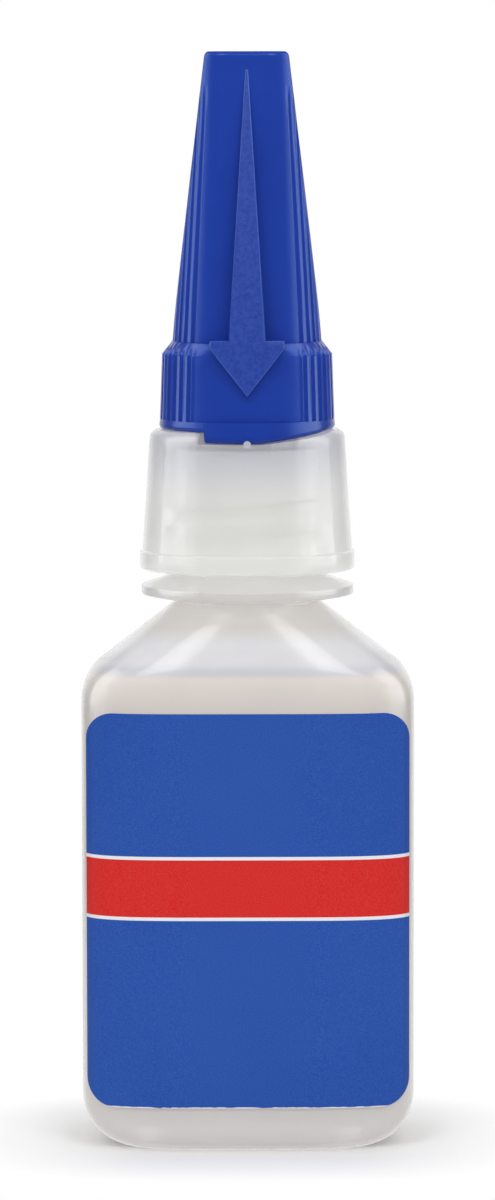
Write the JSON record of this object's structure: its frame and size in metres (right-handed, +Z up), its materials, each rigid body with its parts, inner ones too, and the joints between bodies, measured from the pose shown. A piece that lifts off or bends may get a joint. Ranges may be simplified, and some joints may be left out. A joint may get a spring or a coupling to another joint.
{
  "type": "super glue bottle",
  "caption": "Flat oval squeeze bottle of instant adhesive with film labels, a screw-on collar over a dropper nozzle, and a tall ribbed twist-off cap with a sealing pin.",
  "frame": {"origin": "middle of the base, on the surface that the bottle stands on", "axes": "+Z up along the bottle's axis to the cap, +X across the width of the body, front label towards -Y"},
  "size_m": [0.032, 0.0206, 0.1049],
  "materials": {
    "bottle_plastic": "natural translucent polyethylene, satin",
    "adhesive_liquid": "clear thin liquid",
    "label_film": "satin printed film",
    "nozzle_plastic": "natural polyethylene, satin",
    "collar_plastic": "natural translucent polypropylene, satin gloss",
    "cap_plastic": "gloss, with an etched arrow",
    "pin_steel": "bright drawn wire"
  },
  "bodies": {
    "bottle": {"bottle": "bottle_plastic", "adhesive": "adhesive_liquid", "front_label": "label_film", "rear_label": "label_film"},
    "nozzle": {"nozzle": "nozzle_plastic"},
    "collar": {"collar": "collar_plastic"},
    "cap_pin": {"sealing_pin": "pin_steel"},
    "cap": {"cap": "cap_plastic"}
  },
  "joints": [
    {"name": "nozzle_lift", "type": "slide", "parent": "bottle", "child": "nozzle", "axis": [0, 0, 1], "range_m": [0, 0.012]},
    {"name": "collar_turn", "type": "hinge", "parent": "nozzle", "child": "collar", "pos_m": [0, 0, 0.062], "axis": [0, 0, 1], "range_deg": [0, 1440]},
    {"name": "cap_lift", "type": "slide", "parent": "collar", "child": "cap_pin", "axis": [0, 0, 1], "range_m": [0, 0.036]},
    {"name": "cap_twist", "type": "hinge", "parent": "cap_pin", "child": "cap", "pos_m": [0, 0, 0.069], "axis": [0, 0, 1], "range_deg": [0, 65]}
  ],
  "couplings": [
    {"joint": "collar_turn", "follows": "nozzle_lift", "rad_per_m": 2094.4},
    {"joint": "cap_twist", "follows": "cap_lift", "rad_per_m": 31.5}
  ]
}
